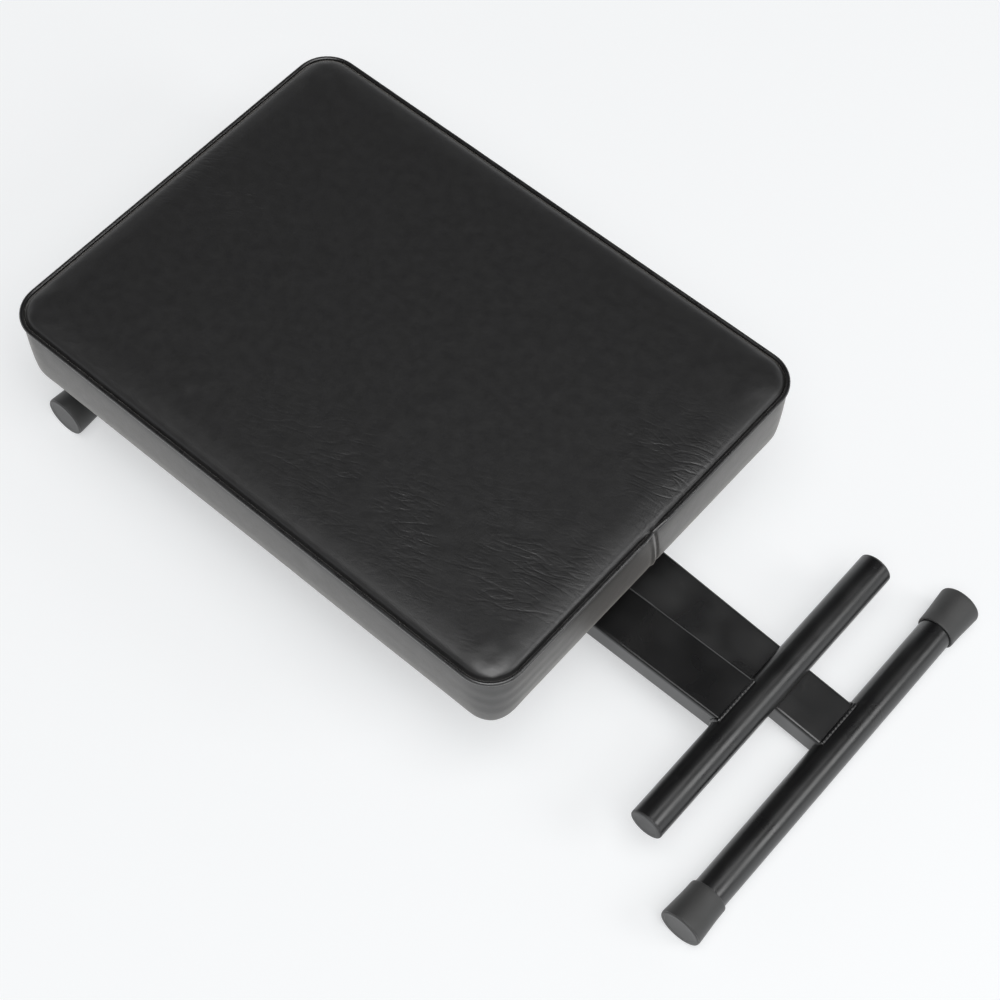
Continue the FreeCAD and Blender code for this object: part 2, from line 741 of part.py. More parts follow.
def saddle_clip(name, side):
    """A steel strap that holds the seat to leg A's top crossbar and lets it turn there."""
    x, y = "-1 * hinge_to_centre", mirrored(side, "batten_offset") + " - clip_width / 2"
    below, drop = "-1 * hinge_drop", "hinge_drop - batten_thickness"
    outside = fuse(rod("clip_outside", "clip_width", x, y, below),
                   block("2 * clip_outside", "clip_width", drop, x + " - clip_outside", y, below))
    under = block("2 * clip_outside", "clip_width", drop + " + clip_outside", x + " - clip_outside", y,
                  below + " - clip_outside")
    inside = fuse(rod("clip_inside", "clip_width + 2 * overcut", x, y + " - overcut", below),
                  block("2 * clip_inside", "clip_width + 2 * overcut", drop + " + overcut",
                        x + " - clip_inside", y + " - overcut", below))
    flanges = [block("clip_thickness + clip_flange", "clip_width", "clip_thickness", x + start, y,
                     "-1 * batten_thickness - clip_thickness")
               for start in (" + clip_inside", " - clip_outside - clip_flange")]
    holes = [post("clip_screw_radius", "clip_thickness + 2 * overcut", spot, across,
                  "-1 * batten_thickness - clip_thickness - overcut")
             for spot, across in clip_screw_spots(side)]
    strap = cut(common(outside, under), inside)
    keep("saddle_clip_" + name, cut(fuse(strap, *flanges), *holes), "seat")


def seat_fasteners():
    """Screws through the clips and battens, and the tee nuts that the clip screws bite in."""
    clip_screws, tee_nuts, wood_screws = [], [], []
    face = "-1 * batten_thickness - clip_thickness"
    for name, side in SIDES:
        for x, y in clip_screw_spots(side):
            head = post("clip_screw_head", "clip_screw_head_height", x, y, face + " - clip_screw_head_height")
            shank = post("clip_screw_radius", "batten_thickness + clip_thickness + board_top - tee_nut_flange",
                         x, y, face)
            clip_screws.append(fuse(head, shank))
            rim = post("tee_nut_radius", "tee_nut_flange", x, y, "board_top - tee_nut_flange")
            barrel = post("tee_nut_barrel", "tee_nut_length", x, y,
                          "board_top - tee_nut_flange - tee_nut_length")
            bore = post("clip_screw_radius", "board_thickness + 2 * overcut", x, y, "board_bottom")
            tee_nuts.append(cut(fuse(rim, barrel), bore))
        for x, y in wood_screw_spots(side):
            wood_screws.append(fuse(*wood_screw(x, y)))
    keep("clip_screws", group(*clip_screws), "seat")
    keep("tee_nuts", group(*tee_nuts), "seat")
    keep("batten_screws", group(*wood_screws), "seat")


def staple(x, y, along_x):
    """One staple driven up through the dust cover and the cover's hem into the board."""
    crown_length, width, wire = size("staple_crown"), size("staple_width"), size("staple_wire")
    leg = size("staple_leg")
    low = Vector(x - crown_length / 2, y - width / 2, -wire)
    bar = Part.makeBox(crown_length, width, wire, low)
    legs = [Part.makeBox(wire, width, leg + wire, low),
            Part.makeBox(wire, width, leg + wire, low + Vector(crown_length - wire, 0, 0))]
    shape = bar.multiFuse(legs).removeSplitter()
    if not along_x:
        shape.rotate(Vector(x, y, 0), Vector(0, 0, 1), 90)
    return shape


def spread(half, pitch):
    """Evenly spaced places from -half to half, about a pitch apart."""
    steps = max(1, round(2 * half / pitch))
    return [half * (2 * index / steps - 1) for index in range(steps + 1)]


def staples():
    """The row of staples round the underside, left out where the battens lie."""
    inset, pitch = size("staple_inset"), size("staple_pitch")
    across, up = size("seat_half_length") - inset, size("seat_half_width") - inset
    covered = size("batten_width") / 2 + size("staple_crown") / 2
    pieces = []
    for sign in (-1, 1):
        for x in spread(across - size("flange_width"), pitch):
            pieces.append(staple(x, sign * up, True))
        for y in spread(up - size("flange_width"), pitch):
            if sign < 0 or abs(abs(y) - size("batten_offset")) > covered:
                pieces.append(staple(sign * across, y, False))
    feature = doc.addObject("Part::Feature", "Staples")
    feature.Shape = Part.makeCompound(pieces)
    keep("staples", feature, "seat")


for leg, side, top, foot in LEGS:
    arm(leg, side, top, foot)
    weld("top", leg, side, top)
    weld("foot", leg, side, foot)
    crossbar("top", leg)
    crossbar("foot", leg)
    for name, end in SIDES:
        foot_cap(leg, name, end)
        end_plug(leg, name, end)
pivot()
lock_plate()
pull_pin()
seat_board()
seat_foam()
top_panel()
side_band()
piping()
dust_cover()
for name, side in SIDES:
    batten(name, side)
    saddle_clip(name, side)
seat_fasteners()
staples()

doc.recompute()
for thing in doc.Objects:
    if "Invalid" in thing.State or "Error" in thing.State:
        raise RuntimeError("%s (%s) didn't build: %s" % (thing.Name, thing.Label, thing.State))
for thing in sub_parts:
    if thing.Shape.isNull() or not thing.Shape.isValid() or not thing.Shape.Solids:
        raise RuntimeError(thing.Label + " has no valid solid")

os.makedirs("parts", exist_ok=True)
for thing in sub_parts:
    thing.Shape.exportStep("parts/%s.step" % thing.Label)

whole = Part.makeCompound([thing.Shape for thing in sub_parts]).optimalBoundingBox()
print("sub-parts", len(sub_parts), "solids", sum(len(thing.Shape.Solids) for thing in sub_parts))
print("box", [round(end, 3) for end in (whole.XMin, whole.YMin, whole.ZMin, whole.XMax, whole.YMax, whole.ZMax)])
for alias in ("rest_angle", "pivot_x", "pivot_z", "top_a_x", "top_z", "fold_range", "plate_radius"):
    print(alias, round(size(alias), 5))
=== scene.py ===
import json
import math

import bmesh
import bpy
import numpy as np
from mathutils import Matrix, Vector, noise


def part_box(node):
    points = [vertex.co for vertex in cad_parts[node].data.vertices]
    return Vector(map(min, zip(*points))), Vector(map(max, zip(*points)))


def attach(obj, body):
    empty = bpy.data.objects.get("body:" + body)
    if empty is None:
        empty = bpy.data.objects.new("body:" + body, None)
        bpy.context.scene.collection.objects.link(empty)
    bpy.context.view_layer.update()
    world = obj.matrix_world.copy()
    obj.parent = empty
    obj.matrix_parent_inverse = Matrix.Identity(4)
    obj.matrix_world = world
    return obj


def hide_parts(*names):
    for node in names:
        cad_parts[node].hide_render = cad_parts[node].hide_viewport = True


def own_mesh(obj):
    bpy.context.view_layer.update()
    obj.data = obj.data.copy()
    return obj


# A folding keyboard bench, lying folded flat with its seat up.
# Metres, Z up. X runs along the bench towards the exposed crossbars. Near is -Y and far is +Y.

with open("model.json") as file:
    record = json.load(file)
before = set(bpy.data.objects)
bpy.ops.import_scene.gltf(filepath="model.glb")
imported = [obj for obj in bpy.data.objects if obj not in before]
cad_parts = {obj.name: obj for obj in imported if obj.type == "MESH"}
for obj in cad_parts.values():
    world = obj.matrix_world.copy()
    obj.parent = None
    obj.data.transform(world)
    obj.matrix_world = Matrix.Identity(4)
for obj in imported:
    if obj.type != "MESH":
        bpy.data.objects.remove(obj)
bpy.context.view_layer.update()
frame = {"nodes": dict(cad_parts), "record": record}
scene = bpy.context.scene
nodes = frame["nodes"]

MM = 0.001

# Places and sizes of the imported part, in metres and degrees.
# The seat's own frame has its origin in the middle of the seat's underside.
SEAT_SPOT, SEAT_TILT = (-0.0878558, 0.0, 0.0708256), 3.0
# The seam round the seat's top: half its length and width, its corners' radius, its height.
HALF_LENGTH, HALF_WIDTH, CORNER, SEAM_HEIGHT = 221.0 * MM, 159.0 * MM, 23.0 * MM, 56.0 * MM
BATTEN_INNER, BATTEN_OUTER = 65.0 * MM, 105.0 * MM
DUST_INSET, STAPLE_INSET, STAPLE_PITCH = 9.0 * MM, 14.0 * MM, 44.0 * MM
# The legs cross at the pivot. Each leg's crossbars lie at a reach from it, and its arm has an
# inner and an outer side. A bar's cap and plug start at a place along it from its middle.
PIVOT, REST_ANGLE = (0.0126822, 0.0, 0.0304874), 2.8884
TOP_REACH, FOOT_REACH = 229.5 * MM, 287.5 * MM
TUBE_RADIUS = 12.7 * MM
ARM_DEPTH, ARM_INNER, ARM_OUTER = 20.0 * MM, 1.5 * MM, 41.5 * MM
CAP_START, PLUG_START = 129.0 * MM, 126.9 * MM
# The lock's spring: its axis, where it starts along Y, and its length when it isn't pressed.
SPRING_X, SPRING_Z = -25.27 * MM, 32.4 * MM
SPRING_START, SPRING_LENGTH = 45.3 * MM, 19.7 * MM
SPRING_RADIUS, SPRING_WIRE = 5.4 * MM, 1.15 * MM

SEAT = Matrix.Translation(SEAT_SPOT) @ Matrix.Rotation(math.radians(-SEAT_TILT), 4, "Y")
LEG = {
    "leg_a": Matrix.Translation(PIVOT) @ Matrix.Rotation(math.radians(REST_ANGLE), 4, "Y"),
    "leg_b": Matrix.Translation(PIVOT) @ Matrix.Rotation(math.radians(-REST_ANGLE), 4, "Y"),
}

# Camera at the photograph's viewpoint.
CAMERA_SPOT = (0.459021, -0.634084, 1.452302)
CAMERA_TURN = (0.4965741, -0.0504403, 0.7139222)
CAMERA_LENS, CAMERA_SENSOR = 81.8555, 36.0

camera = bpy.data.objects.new("camera", bpy.data.cameras.new("camera"))
scene.collection.objects.link(camera)
camera.location = CAMERA_SPOT
camera.rotation_euler = CAMERA_TURN
camera.data.lens = CAMERA_LENS
camera.data.sensor_width = CAMERA_SENSOR
scene.camera = camera
scene.view_settings.view_transform = "Standard"


# Node helpers. Scales are cells or waves per metre, and distances of bumps are metres.
def add(mat, kind, inputs=(), **settings):
    """Adds a node. Inputs are pairs of a socket's name or number and a value or a socket."""
    made = mat.node_tree.nodes.new(kind)
    for key, content in settings.items():
        setattr(made, key, content)
    for key, content in dict(inputs).items():
        if isinstance(content, bpy.types.NodeSocket):
            mat.node_tree.links.new(content, made.inputs[key])
        else:
            made.inputs[key].default_value = content
    return made


def principled(name, colour, roughness, **sockets):
    """A material with a Principled shader, its constants set on the shader's own sockets."""
    mat = bpy.data.materials.new(name)
    mat.use_nodes = True
    shader = mat.node_tree.nodes["Principled BSDF"]
    shader.inputs["Base Color"].default_value = (*colour, 1.0)
    shader.inputs["Roughness"].default_value = roughness
    for key, content in sockets.items():
        shader.inputs[key.replace("_", " ")].default_value = content
    return mat, shader


def place(mat, scale=(1, 1, 1), turn=(0, 0, 0)):
    """The object's own coordinates, scaled and turned."""
    coordinates = add(mat, "ShaderNodeTexCoord").outputs["Object"]
    return add(mat, "ShaderNodeMapping", {
        "Vector": coordinates, "Scale": scale, "Rotation": turn,
    }).outputs["Vector"]


def cloud(mat, vector, scale, detail=2.0, roughness=0.5, distortion=0.0):
    """Soft noise between 0 and 1."""
    return add(mat, "ShaderNodeTexNoise", {
        "Vector": vector, "Scale": scale, "Detail": detail, "Roughness": roughness,
        "Distortion": distortion,
    }).outputs["Fac"]


def cells(mat, vector, scale):
    """The distance from the middle of each of many small cells."""
    return add(mat, "ShaderNodeTexVoronoi", {
        "Vector": vector, "Scale": scale,
    }, feature="F1").outputs["Distance"]


def maths(mat, operation, *values):
    return add(mat, "ShaderNodeMath", dict(enumerate(values)), operation=operation).outputs[0]


def vector_maths(mat, operation, *values):
    return add(mat, "ShaderNodeVectorMath", dict(enumerate(values)), operation=operation).outputs


def remap(mat, source, span, target, blend="LINEAR"):
    """Takes a value from one span to another, and holds it at the ends."""
    return add(mat, "ShaderNodeMapRange", {
        "Value": source, "From Min": span[0], "From Max": span[1],
        "To Min": target[0], "To Max": target[1],
    }, interpolation_type=blend).outputs["Result"]


# The mix node's sockets for colours, which share their names with its other kinds.
FIRST_COLOUR, SECOND_COLOUR, MIXED_COLOUR = 6, 7, 2


def tint(mat, factor, first, second):
    """A colour between two, by a factor."""
    made = add(mat, "ShaderNodeMix", {
        "Factor": factor, FIRST_COLOUR: (*first, 1.0), SECOND_COLOUR: (*second, 1.0),
    }, data_type="RGBA")
    return made.outputs[MIXED_COLOUR]


def bump(mat, height, distance, strength, normal=None):
    inputs = {"Height": height, "Distance": distance, "Strength": strength}
    if normal is not None:
        inputs["Normal"] = normal
    return add(mat, "ShaderNodeBump", inputs).outputs["Normal"]


def join(mat, source, shader, socket):
    mat.node_tree.links.new(source, shader.inputs[socket])


# Where the cover is creased: the middle and the reach of each patch along X and Y.
CREASE_PATCHES = (
    ((-0.02, -0.105), (0.16, 0.055)),
    ((0.09, -0.09), (0.11, 0.08)),
    ((0.11, 0.05), (0.07, 0.06)),
    ((-0.27, 0.01), (0.07, 0.07)),
)
# Each layer of creases: its turn in degrees, the length and gap of its lines, and its share.
CREASE_LAYERS = (
    (24, 0.026, 0.0070, 1.0),
    (10, 0.018, 0.0050, 0.6),
    (30, 0.011, 0.0034, 0.45),
)
# How far from the noise's middle a crease reaches, how deep it is, and how far it wavers.
CREASE_WIDTH, CREASE_DEPTH, CREASE_SWAY = 0.11, 0.00015, (0.007, 0.007, 0.0)


def near_spot(mat, own, spot, reach):
    """1 at a spot of the seat, falling to 0 at its reach along X and Y."""
    shifted = add(mat, "ShaderNodeMapping", {
        "Vector": own, "Location": (-spot[0] / reach[0], -spot[1] / reach[1], 0),
        "Scale": (1 / reach[0], 1 / reach[1], 0),
    }).outputs["Vector"]
    length = vector_maths(mat, "LENGTH", shifted)["Value"]
    return remap(mat, length, (0.25, 1.0), (1.0, 0.0))


def crease_mask(mat, own):
    """How much a place is creased: in broken patches, and hardly at all where it is upright."""
    mask = near_spot(mat, own, *CREASE_PATCHES[0])
    for spot, reach in CREASE_PATCHES[1:]:
        mask = maths(mat, "MAXIMUM", mask, near_spot(mat, own, spot, reach))
    breaks = cloud(mat, own, scale=24.0, detail=3.0, roughness=0.6)
    mask = maths(mat, "MULTIPLY", remap(mat, breaks, (0.35, 0.55), (0.0, 1.0)), mask)
    facing = add(mat, "ShaderNodeTexCoord").outputs["Normal"]
    upward = add(mat, "ShaderNodeSeparateXYZ", {"Vector": facing}).outputs["Z"]
    return maths(mat, "MULTIPLY", remap(mat, upward, (0.4, 0.9), (0.12, 1.0)), mask)


def crease_lines(mat, own):
    """Three layers of wavering lines, as a depth below 0."""
    sway = add(mat, "ShaderNodeTexNoise", {"Vector": own, "Scale": 38.0, "Detail": 1.0})
    sway = vector_maths(mat, "SUBTRACT", sway.outputs["Color"], (0.5, 0.5, 0.5))[0]
    swayed = vector_maths(mat, "MULTIPLY_ADD", sway, CREASE_SWAY, own)[0]
    depth = None
    for turn, length, gap, share in CREASE_LAYERS:
        slanted = add(mat, "ShaderNodeMapping", {
            "Vector": swayed, "Rotation": (0, 0, math.radians(turn)),
            "Scale": (length, gap, 0.02),
        }, vector_type="TEXTURE").outputs["Vector"]
        waves = cloud(mat, slanted, scale=1.0, detail=0.0)
        ridge = maths(mat, "ABSOLUTE", maths(mat, "SUBTRACT", waves, 0.5))
        fold = remap(mat, ridge, (0.0, CREASE_WIDTH), (-share, 0.0), "SMOOTHSTEP")
        depth = fold if depth is None else maths(mat, "ADD", depth, fold)
    return depth


def vinyl(name, creases, roughness):
    """Black upholstery vinyl: fine pebble grain, and creases that run aslant in patches.
    Creases is their share of the full depth, and roughness its lowest and highest value."""
    dark, light = (0.0044, 0.0042, 0.0044), (0.0058, 0.0055, 0.0056)
    mat, shader = principled(name, dark, 0.42, IOR=1.85, Sheen_Weight=0.35,
                             Sheen_Roughness=0.35, Sheen_Tint=(1.0, 0.95, 0.89, 1.0))
    own = place(mat)
    depth = maths(mat, "MULTIPLY", crease_lines(mat, own), crease_mask(mat, own))
    pebbles = cells(mat, own, scale=1500.0)
    dimples = cloud(mat, own, scale=300.0, detail=4.0)
    normal = bump(mat, pebbles, distance=0.00005, strength=0.5)
    normal = bump(mat, dimples, distance=0.00016, strength=0.4, normal=normal)
    normal = bump(mat, depth, CREASE_DEPTH * creases, strength=0.55, normal=normal)
    join(mat, normal, shader, "Normal")
    polish = cloud(mat, own, scale=130.0, detail=4.0)
    join(mat, remap(mat, polish, (0.3, 0.7), roughness), shader, "Roughness")
    drift = cloud(mat, own, scale=300.0, detail=3.0)
    join(mat, tint(mat, drift, dark, light), shader, "Base Color")
    return mat


def paint(name):
    """Satin black powder coat: a faint orange peel and dusty scuffs."""
    black, dusty = (0.004, 0.004, 0.0042), (0.02, 0.02, 0.0195)
    mat, shader = principled(name, black, 0.32, IOR=1.8)
    own = place(mat)
    grit = cloud(mat, own, scale=900.0)
    peel = cloud(mat, own, scale=140.0)
    normal = bump(mat, grit, distance=0.00004, strength=0.6)
    normal = bump(mat, peel, distance=0.00012, strength=0.35, normal=normal)
    join(mat, normal, shader, "Normal")
    polish = cloud(mat, own, scale=35.0, detail=1.0)
    join(mat, remap(mat, polish, (0.3, 0.7), (0.26, 0.36)), shader, "Roughness")
    scuffs = cloud(mat, own, scale=46.0, detail=5.0, roughness=0.7)
    scuffs = remap(mat, scuffs, (0.64, 0.74), (0.0, 1.0))
    join(mat, tint(mat, scuffs, black, dusty), shader, "Base Color")
    return mat


def rubber(name):
    """Matt black rubber with a dusty bloom."""
    mat, shader = principled(name, (0.03, 0.03, 0.03), 0.72, IOR=1.8,
                             Sheen_Weight=0.25, Sheen_Roughness=0.4)
    own = place(mat)
    grain = cloud(mat, own, scale=1400.0)
    dents = cloud(mat, own, scale=210.0, detail=3.0)
    normal = bump(mat, grain, distance=0.00005, strength=0.6)
    normal = bump(mat, dents, distance=0.00012, strength=0.4, normal=normal)
    join(mat, normal, shader, "Normal")
    bloom = cloud(mat, own, scale=55.0, detail=5.0, roughness=0.65)
    bloom = remap(mat, bloom, (0.35, 0.7), (0.0, 1.0))
    join(mat, tint(mat, bloom, (0.026, 0.026, 0.026), (0.038, 0.038, 0.037)), shader,
         "Base Color")
    join(mat, remap(mat, bloom, (0.0, 1.0), (0.55, 0.7)), shader, "Roughness")
    return mat


def plastic(name, colour, roughness):
    """Moulded plastic with a fine spark texture and slight colour drift."""
    mat, shader = principled(name, colour, roughness, IOR=1.65)
    own = place(mat)
    sparks = cloud(mat, own, scale=1700.0)
    join(mat, bump(mat, sparks, distance=0.00004, strength=0.6), shader, "Normal")
    lighter = [1.25 * part for part in colour]
    drift = cloud(mat, own, scale=90.0, detail=4.0)
    join(mat, tint(mat, drift, colour, lighter), shader, "Base Color")
    polish = cloud(mat, own, scale=70.0, detail=3.0)
    join(mat, remap(mat, polish, (0.3, 0.7), (roughness - 0.06, roughness + 0.08)), shader,
         "Roughness")
    return mat


def zinc(name):
    """Bright zinc plate, a little cloudy."""
    mat, shader = principled(name, (0.6, 0.61, 0.62), 0.32, Metallic=1.0)
    own = place(mat)
    spangle = cloud(mat, own, scale=120.0, detail=5.0, roughness=0.6)
    join(mat, tint(mat, spangle, (0.48, 0.49, 0.51), (0.68, 0.68, 0.67)), shader, "Base Color")
    join(mat, remap(mat, spangle, (0.3, 0.7), (0.24, 0.42)), shader, "Roughness")
    brushing = cloud(mat, own, scale=700.0)
    join(mat, bump(mat, brushing, distance=0.00003, strength=0.5), shader, "Normal")
    return mat


def timber(name, dark, light, roughness):
    """Wood with its grain along X."""
    mat, shader = principled(name, dark, roughness)
    figure = cloud(mat, place(mat, scale=(6, 90, 90)), scale=1.0, detail=5.0, roughness=0.6,
                   distortion=0.8)
    pores = cloud(mat, place(mat, scale=(60, 1400, 1400)), scale=1.0)
    join(mat, tint(mat, figure, dark, light), shader, "Base Color")
    normal = bump(mat, pores, distance=0.0001, strength=0.5)
    normal = bump(mat, figure, distance=0.0002, strength=0.3, normal=normal)
    join(mat, normal, shader, "Normal")
    join(mat, remap(mat, figure, (0.3, 0.7), (roughness - 0.08, roughness + 0.08)), shader,
         "Roughness")
    return mat


def felt(name):
    """Black non-woven cloth: pressed fibres and a grid of small bond points."""
    mat, shader = principled(name, (0.016, 0.016, 0.017), 0.85, Sheen_Weight=0.15)
    own = place(mat)
    fibres = cloud(mat, place(mat, scale=(900, 260, 900), turn=(0, 0, 0.6)), scale=1.0,
                   detail=4.0, roughness=0.7, distortion=1.5)
    points = maths(mat, "LESS_THAN", cells(mat, own, scale=520.0), 0.3)
    join(mat, tint(mat, fibres, (0.011, 0.011, 0.012), (0.028, 0.028, 0.030)), shader,
         "Base Color")
    normal = bump(mat, fibres, distance=0.00012, strength=0.7)
    normal = bump(mat, points, distance=-0.00008, strength=0.6, normal=normal)
    join(mat, normal, shader, "Normal")
    return mat


# A material for each of the record's slots.
MATERIALS = {
    "black_paint": paint("satin_powder_coat"),
    "rubber": rubber("matt_rubber"),
    "black_plastic": plastic("moulded_plastic", (0.035, 0.035, 0.036), 0.5),
    "nylon": plastic("natural_nylon", (0.55, 0.54, 0.50), 0.45),
    "zinc_steel": zinc("zinc_plate"),
    "vinyl": vinyl("creased_vinyl", creases=1.0, roughness=(0.395, 0.445)),
    "piping_vinyl": vinyl("piping_vinyl", creases=0.25, roughness=(0.24, 0.34)),
    "foam": plastic("foam", (0.75, 0.72, 0.6), 0.9),
    "plywood": timber("plywood", (0.45, 0.31, 0.18), (0.62, 0.46, 0.29), 0.6),
    "painted_wood": timber("stained_wood", (0.012, 0.012, 0.012), (0.024, 0.023, 0.022), 0.5),
    "dust_cloth": felt("dust_cloth"),
}
for part in frame["record"]["subparts"]:
    mesh = nodes[part["node"]].data
    mesh.materials.clear()
    mesh.materials.append(MATERIALS[part["material_slot"]])


# Mesh helpers. A shape is its points and its faces.
def piece(name, shape, body, slot, replaced, matrix=None):
    """A new smooth-shaded mesh that rides on a body, takes the slot's material and replaces
    nodes."""
    verts, faces = shape
    mesh = bpy.data.meshes.new(name)
    mesh.from_pydata([tuple(v) for v in verts], [], faces)
    work = bmesh.new()
    work.from_mesh(mesh)
    bmesh.ops.recalc_face_normals(work, faces=work.faces)
    work.to_mesh(mesh)
    work.free()
    if matrix is not None:
        mesh.transform(matrix)
    mesh.polygons.foreach_set("use_smooth", [True] * len(mesh.polygons))
    mesh.materials.append(MATERIALS[slot])
    made = bpy.data.objects.new(name, mesh)
    scene.collection.objects.link(made)
    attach(made, body)
    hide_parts(*replaced)
    return made


def lathe(profile, sides=72):
    """Turns a profile of (radius, along) about Y. A point with no radius closes an end."""
    verts, faces, rings = [], [], []
    for radius, along in profile:
        if radius == 0:
            rings.append([len(verts)] * sides)
            verts.append((0.0, along, 0.0))
            continue
        rings.append(list(range(len(verts), len(verts) + sides)))
        for step in range(sides):
            angle = 2 * math.pi * step / sides
            verts.append((radius * math.cos(angle), along, radius * math.sin(angle)))
    for low, high in zip(rings, rings[1:]):
        for step in range(sides):
            after = (step + 1) % sides
            face = tuple(dict.fromkeys((low[step], low[after], high[after], high[step])))
            if len(face) > 2:
                faces.append(face)
    return verts, faces


def eased(corners, steps=4):
    """Rounds a profile: each corner is (radius, along) or (radius, along, size of its round)."""
    out = []
    for index, corner in enumerate(corners):
        spot = Vector(corner[:2])
        size = corner[2] if len(corner) > 2 else 0
        if not size or index in (0, len(corners) - 1):
            out.append(tuple(spot))
            continue
        before = (Vector(corners[index - 1][:2]) - spot).normalized() * size
        after = (Vector(corners[index + 1][:2]) - spot).normalized() * size
        for step in range(steps + 1):
            share = step / steps
            point = spot + before * (1 - share) ** 2 + after * share ** 2
            out.append(tuple(point))
    return out


def sweep(points, radius, sides):
    """A tube with closed ends along points. Radius is a function of the point's number."""
    count = len(points)
    points = [Vector(p) for p in points]
    verts, faces = [], []
    normal = None
    for index, point in enumerate(points):
        ahead, behind = points[min(index + 1, count - 1)], points[max(index - 1, 0)]
        tangent = (ahead - behind).normalized()
        if normal is None:
            normal = tangent.orthogonal().normalized()
        normal = (normal - tangent * normal.dot(tangent)).normalized()
        side = tangent.cross(normal)
        for step in range(sides):
            angle = 2 * math.pi * step / sides
            round_point = math.cos(angle) * normal + math.sin(angle) * side
            verts.append(point + radius(index) * round_point)
    for index in range(count - 1):
        low, high = index * sides, (index + 1) * sides
        for step in range(sides):
            after = (step + 1) % sides
            faces.append((low + step, low + after, high + after, high + step))
    faces.append(tuple(range(sides - 1, -1, -1)))
    faces.append(tuple(range((count - 1) * sides, count * sides)))
    return verts, faces


def grid_faces(first, columns, rows):
    """The faces of a grid of columns by rows of cells, its points numbered from the first."""
    wide = columns + 1
    corners = [first + row * wide + column for row in range(rows) for column in range(columns)]
    return [(corner, corner + 1, corner + wide + 1, corner + wide) for corner in corners]


def grid_rim(columns, rows):
    """The points round the edge of such a grid, in turn."""
    wide = columns + 1
    rim = list(range(columns))
    rim += [row * wide + columns for row in range(rows)]
    rim += [rows * wide + column for column in range(columns, 0, -1)]
    rim += [row * wide for row in range(rows, 0, -1)]
    return rim


def wave(x, y, z):
    """Smooth noise between about -1 and 1. A fixed number picks one slice of it."""
    return noise.noise(Vector((x, y, z)))


def bell(distance, reach):
    """1 at no distance, falling softly to 0."""
    return math.exp(-(distance / reach) ** 2)


def at_near_corner(x, y):
    """Whether a place or direction belongs to the corner at +X and -Y, nearest the camera."""
    return x > 0 > y


# The cushion's cover. It is one sheet: a gridded top, a side and a hem, in the seat's frame.
# The top's cells, its outermost cells, and how far inside the seam line the sheet is cut.
GRID, EDGE_CELL, SHEET_INSET = 5.0 * MM, 1.6 * MM, 0.3 * MM
# The crown: how far inside the seam, and how high above it, in mm.
CROWN = (
    (0.0, -0.5), (0.5, 0.75), (1.6, 1.95), (3.2, 2.8), (5.2, 3.45), (8.0, 3.95), (16.0, 4.4),
    (44.0, 4.95), (96.0, 5.3),
)
# The side and the hem: height, and how far outside the seam, in mm.
SIDE = (
    (54.4, 0.5), (53.9, 1.9), (52.4, 2.65), (50.0, 2.85), (47.0, 2.95), (42.0, 3.05),
    (37.0, 3.15), (32.0, 3.2), (27.0, 3.2), (22.0, 3.1), (17.0, 3.0), (12.0, 2.7), (7.5, 2.4),
    (4.0, 1.9), (1.9, 1.1), (0.8, -0.4), (0.6, -3.0), (0.6, -8.0), (0.6, -14.0), (0.6, -20.0),
    (0.6, -25.0),
)
# How far the side stands out more at the near corner and less at the others, in mm, and how
# far below the seam that is complete.
NEAR_CORNER_FLARE, OTHER_CORNER_FLARE, FLARE_SHARPNESS, FLARE_DROP = 2.3, -1.1, 1.5, 40
# What stays put while the cover is puffed up: the first rings below the seam, and the hem
# below a height in mm. The hem's part below another height gets no relief either.
HELD_RINGS, HEM_HEIGHT, FLAT_HEIGHT = 2, 1.0, 2.5 * MM

# The cloth simulation that puffs the cover up, and the most that a point may move in it.
PUFF_FRAMES, PUFF_CAP = 20, 0.35 * MM
PUFF_SETTINGS = {
    "quality": 5, "mass": 0.4, "tension_stiffness": 12, "compression_stiffness": 12,
    "shear_stiffness": 6, "bending_stiffness": 4, "use_pressure": True,
    "uniform_pressure_force": 4.0, "vertex_group_mass": "held",
}


def rounded(x, y, half_length, half_width, corner):
    """Moves a point of a plain rectangle's corners onto the round-cornered one."""
    inner_x, inner_y = half_length - corner, half_width - corner
    over_x, over_y = (abs(x) - inner_x) / corner, (abs(y) - inner_y) / corner
    if over_x <= 0 or over_y <= 0:
        return x, y
    pull = max(over_x, over_y) / math.hypot(over_x, over_y)
    return (math.copysign(inner_x + over_x * pull * corner, x),
            math.copysign(inner_y + over_y * pull * corner, y))


def inset(x, y):
    """How far a point of the top lies inside the seam."""
    across, up = abs(x) - (HALF_LENGTH - CORNER), abs(y) - (HALF_WIDTH - CORNER)
    outside = math.hypot(max(across, 0.0), max(up, 0.0))
    return CORNER - outside - min(max(across, up), 0.0)


def ticks(half):
    """Evenly spaced places, with one more close to each end."""
    count = round(2 * half / GRID)
    places = [-half + 2 * half * step / count for step in range(count + 1)]
    return places[:1] + [-half + EDGE_CELL] + places[1:-1] + [half - EDGE_CELL] + places[-1:]


def corner_flare(x, y):
    """How far the side stands out more than elsewhere, towards a direction from the corner."""
    diagonal = (2 * abs(x * y)) ** FLARE_SHARPNESS
    return diagonal * (NEAR_CORNER_FLARE if at_near_corner(x, y) else OTHER_CORNER_FLARE) * MM


